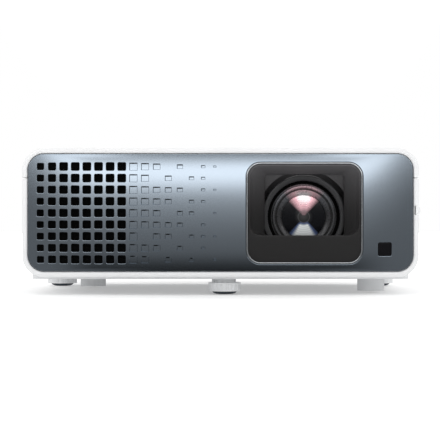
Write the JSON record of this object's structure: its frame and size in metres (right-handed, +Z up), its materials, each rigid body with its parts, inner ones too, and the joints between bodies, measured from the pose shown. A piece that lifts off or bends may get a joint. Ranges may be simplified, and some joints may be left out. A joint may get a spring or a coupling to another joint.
{
  "type": "home projector",
  "caption": "Short-throw laser home projector: white case, bulged blue-grey front with a fading square grille, recessed lens in a black bezel, screw feet.",
  "frame": {"origin": "on the floor under the middle of the object's box, at the bottom of the rubber pads", "axes": "+X to the viewer's right, the front faces -Y, +Z up"},
  "size_m": [0.3058, 0.247, 0.1134],
  "materials": {
    "case_white": "fine satin texture",
    "base_white": "matte",
    "panel_blue": "satin metallic",
    "bezel_black": "satin",
    "trim_bright": "polished",
    "window_black": "gloss",
    "filter_foam": "open foam",
    "rear_grey": "fine texture",
    "ring_black": "satin",
    "lens_metal": "black anodised",
    "coated_glass": "coated",
    "clear_glass": "polished",
    "cast_metal": "cast",
    "mirror": "polished",
    "lens_stand": "matte",
    "fin_metal": "extruded",
    "phosphor": "coated",
    "laser_brass": "satin",
    "fan_black": "moulded",
    "board_green": "solder mask",
    "board_brown": "bare laminate",
    "socket_black": "moulded",
    "socket_metal": "plated",
    "speaker_black": "moulded",
    "light_pipe": "clear",
    "foot_metal": "knurled",
    "foot_rubber": "matte",
    "insert_brass": "turned",
    "screw_steel": "plated"
  },
  "bodies": {
    "casing": {"top_cover": "case_white", "bottom_case": "case_white", "base_plate": "base_white", "front_panel": "panel_blue", "lens_bezel": "bezel_black", "bezel_trim": "trim_bright", "ir_window": "window_black", "dust_filter": "filter_foam", "rear_panel": "rear_grey", "lens_shroud": "bezel_black", "lens_barrel": "lens_metal", "rear_lens_glass": "clear_glass", "engine_housing": "cast_metal", "engine_lid": "cast_metal", "prism": "clear_glass", "fold_mirrors": "mirror", "relay_lenses": "lens_stand", "light_tunnel": "fin_metal", "imaging_board": "board_green", "imaging_heatsink": "fin_metal", "wheel_housing": "cast_metal", "laser_bank": "laser_brass", "laser_heatsink": "fin_metal", "exhaust_fan_frame": "fan_black", "intake_fan_frame": "fan_black", "main_board": "board_green", "power_board": "board_brown", "ac_inlet": "socket_black", "hdmi_ports": "socket_metal", "usb_port": "socket_metal", "audio_jack": "socket_black", "keypad_board": "board_green", "receiver_board": "board_green", "speaker_frame": "speaker_black", "status_lights": "light_pipe", "mount_inserts": "insert_brass", "case_screws": "screw_steel"},
    "side_button": {"side_button": "case_white"},
    "focus_ring": {"focus_ring": "ring_black"},
    "zoom_ring": {"zoom_ring": "ring_black"},
    "front_lens_group": {"front_lens_cell": "lens_metal", "front_lens_glass": "coated_glass"},
    "zoom_lens_group": {"zoom_lens_cell": "lens_metal", "zoom_lens_glass": "clear_glass"},
    "phosphor_wheel": {"phosphor_wheel": "phosphor"},
    "exhaust_fan_rotor": {"exhaust_fan_rotor": "fan_black"},
    "intake_fan_rotor": {"intake_fan_rotor": "fan_black"},
    "speaker_cone": {"speaker_cone": "speaker_black"},
    "power_key": {"power_key": "case_white"},
    "up_key": {"up_key": "case_white"},
    "down_key": {"down_key": "case_white"},
    "left_key": {"left_key": "case_white"},
    "right_key": {"right_key": "case_white"},
    "ok_key": {"ok_key": "case_white"},
    "front_foot_pad": {"front_foot_pad": "foot_rubber"},
    "front_foot_screw": {"front_foot_screw": "foot_metal"},
    "rear_left_foot_pad": {"rear_left_foot_pad": "foot_rubber"},
    "rear_left_foot_screw": {"rear_left_foot_screw": "foot_metal"},
    "rear_right_foot_pad": {"rear_right_foot_pad": "foot_rubber"},
    "rear_right_foot_screw": {"rear_right_foot_screw": "foot_metal"}
  },
  "joints": [
    {"name": "side_button_press", "type": "slide", "parent": "casing", "child": "side_button", "axis": [-1, 0, 0], "range_m": [0, 0.0005], "stiffness_N_per_m": 400},
    {"name": "power_key_press", "type": "slide", "parent": "casing", "child": "power_key", "axis": [0, 0, -1], "range_m": [0, 0.0006], "stiffness_N_per_m": 300, "springref_m": -0.0001},
    {"name": "up_key_press", "type": "slide", "parent": "casing", "child": "up_key", "axis": [0, 0, -1], "range_m": [0, 0.0006], "stiffness_N_per_m": 300, "springref_m": -0.0001},
    {"name": "down_key_press", "type": "slide", "parent": "casing", "child": "down_key", "axis": [0, 0, -1], "range_m": [0, 0.0006], "stiffness_N_per_m": 300, "springref_m": -0.0001},
    {"name": "left_key_press", "type": "slide", "parent": "casing", "child": "left_key", "axis": [0, 0, -1], "range_m": [0, 0.0006], "stiffness_N_per_m": 300, "springref_m": -0.0001},
    {"name": "right_key_press", "type": "slide", "parent": "casing", "child": "right_key", "axis": [0, 0, -1], "range_m": [0, 0.0006], "stiffness_N_per_m": 300, "springref_m": -0.0001},
    {"name": "ok_key_press", "type": "slide", "parent": "casing", "child": "ok_key", "axis": [0, 0, -1], "range_m": [0, 0.0006], "stiffness_N_per_m": 300, "springref_m": -0.0001},
    {"name": "focus_ring_turn", "type": "hinge", "parent": "casing", "child": "focus_ring", "pos_m": [0.0648, -0.106, 0.0603], "axis": [0, -1, 0], "range_deg": [-60, 60]},
    {"name": "zoom_ring_turn", "type": "hinge", "parent": "casing", "child": "zoom_ring", "pos_m": [0.0648, -0.083, 0.0603], "axis": [0, -1, 0], "range_deg": [-25, 25]},
    {"name": "front_lens_slide", "type": "slide", "parent": "casing", "child": "front_lens_group", "axis": [0, -1, 0], "range_m": [-0.0015, 0.0015]},
    {"name": "zoom_lens_slide", "type": "slide", "parent": "casing", "child": "zoom_lens_group", "axis": [0, -1, 0], "range_m": [-0.0015, 0.0015]},
    {"name": "phosphor_wheel_spin", "type": "hinge", "parent": "casing", "child": "phosphor_wheel", "pos_m": [-0.03, -0.006, 0.046], "axis": [1, 0, 0], "continuous": true},
    {"name": "exhaust_fan_spin", "type": "hinge", "parent": "casing", "child": "exhaust_fan_rotor", "pos_m": [-0.103, -0.1095, 0.062], "axis": [0, -1, 0], "continuous": true},
    {"name": "intake_fan_spin", "type": "hinge", "parent": "casing", "child": "intake_fan_rotor", "pos_m": [0.1455, 0.022, 0.057], "axis": [1, 0, 0], "continuous": true},
    {"name": "speaker_cone_stroke", "type": "slide", "parent": "casing", "child": "speaker_cone", "axis": [1, 0, 0], "range_m": [-0.001, 0.001], "stiffness_N_per_m": 1500},
    {"name": "front_foot_extend", "type": "slide", "parent": "casing", "child": "front_foot_pad", "axis": [0, 0, -1], "range_m": [0, 0.01]},
    {"name": "front_foot_turn", "type": "hinge", "parent": "front_foot_pad", "child": "front_foot_screw", "pos_m": [0.0031, -0.0935, 0], "axis": [0, 0, -1], "range_deg": [0, 1800]},
    {"name": "rear_left_foot_extend", "type": "slide", "parent": "casing", "child": "rear_left_foot_pad", "axis": [0, 0, -1], "range_m": [0, 0.01]},
    {"name": "rear_left_foot_turn", "type": "hinge", "parent": "rear_left_foot_pad", "child": "rear_left_foot_screw", "pos_m": [-0.1395, 0.0685, 0], "axis": [0, 0, -1], "range_deg": [0, 1800]},
    {"name": "rear_right_foot_extend", "type": "slide", "parent": "casing", "child": "rear_right_foot_pad", "axis": [0, 0, -1], "range_m": [0, 0.01]},
    {"name": "rear_right_foot_turn", "type": "hinge", "parent": "rear_right_foot_pad", "child": "rear_right_foot_screw", "pos_m": [0.1395, 0.0685, 0], "axis": [0, 0, -1], "range_deg": [0, 1800]}
  ],
  "couplings": [
    {"joint": "front_lens_slide", "follows": "focus_ring_turn", "m_per_rad": 0.0014324},
    {"joint": "zoom_lens_slide", "follows": "zoom_ring_turn", "m_per_rad": 0.0034377},
    {"joint": "front_foot_turn", "follows": "front_foot_extend", "rad_per_m": 3141.6},
    {"joint": "rear_left_foot_turn", "follows": "rear_left_foot_extend", "rad_per_m": 3141.6},
    {"joint": "rear_right_foot_turn", "follows": "rear_right_foot_extend", "rad_per_m": 3141.6}
  ]
}
